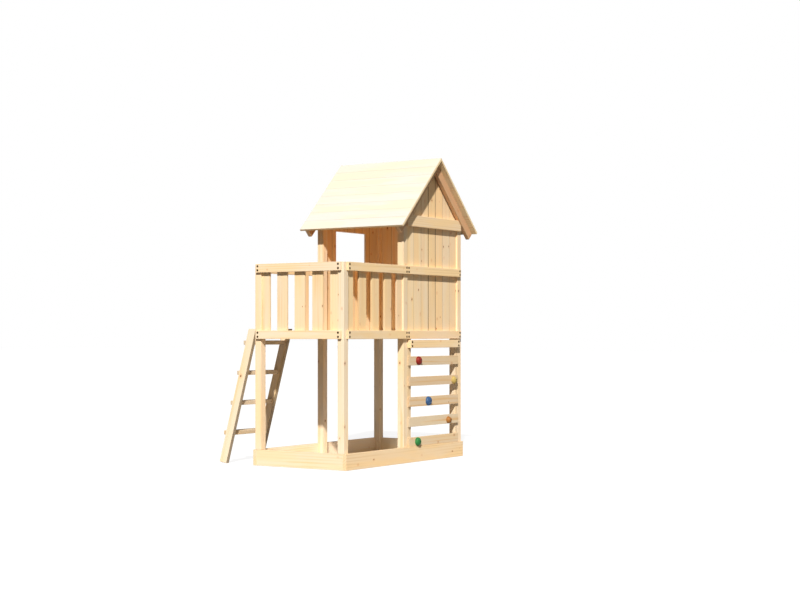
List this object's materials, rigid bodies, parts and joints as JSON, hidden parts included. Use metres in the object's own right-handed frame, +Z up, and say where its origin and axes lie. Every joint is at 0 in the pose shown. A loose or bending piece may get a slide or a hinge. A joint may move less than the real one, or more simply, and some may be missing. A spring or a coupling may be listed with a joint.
{
  "type": "stilt playhouse",
  "caption": "Timber play tower on posts: a railed balcony and a small house with a saddle roof, over a sand frame, with a leaning ladder and a climbing wall with grips.",
  "frame": {"origin": "on the ground, under the middle of the whole object's box", "axes": "+Z up; +X to the right along the balcony's front, from the ladder side to the climbing wall's side; +Y from the balcony's front towards the house's back"},
  "size_m": [1.5806, 2.2302, 2.9576],
  "materials": {
    "pine_frame": "planed pale pine with a faint yellow-green tint, matt",
    "pine_boards": "planed pale pine boards, matt",
    "pine_roof": "planed pale pine boards, matt",
    "plastic_red": "grainy moulded plastic",
    "plastic_yellow": "grainy moulded plastic",
    "plastic_blue": "grainy moulded plastic",
    "plastic_orange": "grainy moulded plastic",
    "plastic_green": "grainy moulded plastic"
  },
  "bodies": {
    "root": {"base_board_back": "pine_frame", "base_board_front": "pine_frame", "base_board_left": "pine_frame", "base_board_right": "pine_frame", "climbing_batten_back": "pine_frame", "climbing_batten_front": "pine_frame", "climbing_board_1": "pine_boards", "climbing_board_2": "pine_boards", "climbing_board_3": "pine_boards", "climbing_board_4": "pine_boards", "climbing_board_5": "pine_boards", "climbing_grip_blue": "plastic_blue", "climbing_grip_green": "plastic_green", "climbing_grip_orange": "plastic_orange", "climbing_grip_red": "plastic_red", "climbing_grip_yellow": "plastic_yellow", "climbing_top_rail": "pine_frame", "hand_rail_front": "pine_frame", "hand_rail_left": "pine_frame", "hand_rail_right": "pine_frame", "ladder_stringer_far": "pine_frame", "ladder_stringer_near": "pine_frame", "ladder_tread_1": "pine_frame", "ladder_tread_2": "pine_frame", "ladder_tread_3": "pine_frame", "ladder_tread_4": "pine_frame", "middle_rail_right": "pine_frame", "platform_floor": "pine_boards", "platform_rail_balcony_right": "pine_frame", "platform_rail_front": "pine_frame", "platform_rail_house_right": "pine_frame", "platform_rail_left": "pine_frame", "post_back_left": "pine_frame", "post_back_right": "pine_frame", "post_front_left": "pine_frame", "post_front_right": "pine_frame", "post_middle_left": "pine_frame", "post_middle_right": "pine_frame", "rafter_left_back": "pine_frame", "rafter_left_front": "pine_frame", "rafter_right_back": "pine_frame", "rafter_right_front": "pine_frame", "roof_boards_back": "pine_roof", "roof_boards_front": "pine_roof", "slat_front_1": "pine_boards", "slat_front_2": "pine_boards", "slat_front_3": "pine_boards", "slat_front_4": "pine_boards", "slat_front_5": "pine_boards", "slat_left_4": "pine_boards", "slat_left_5": "pine_boards", "slat_right_1": "pine_boards", "slat_right_2": "pine_boards", "slat_right_3": "pine_boards", "slat_right_4": "pine_boards", "slat_right_5": "pine_boards", "tie_beam_right": "pine_frame", "wall_back": "pine_boards", "wall_left": "pine_boards", "wall_right": "pine_boards"}
  },
  "joints": []
}
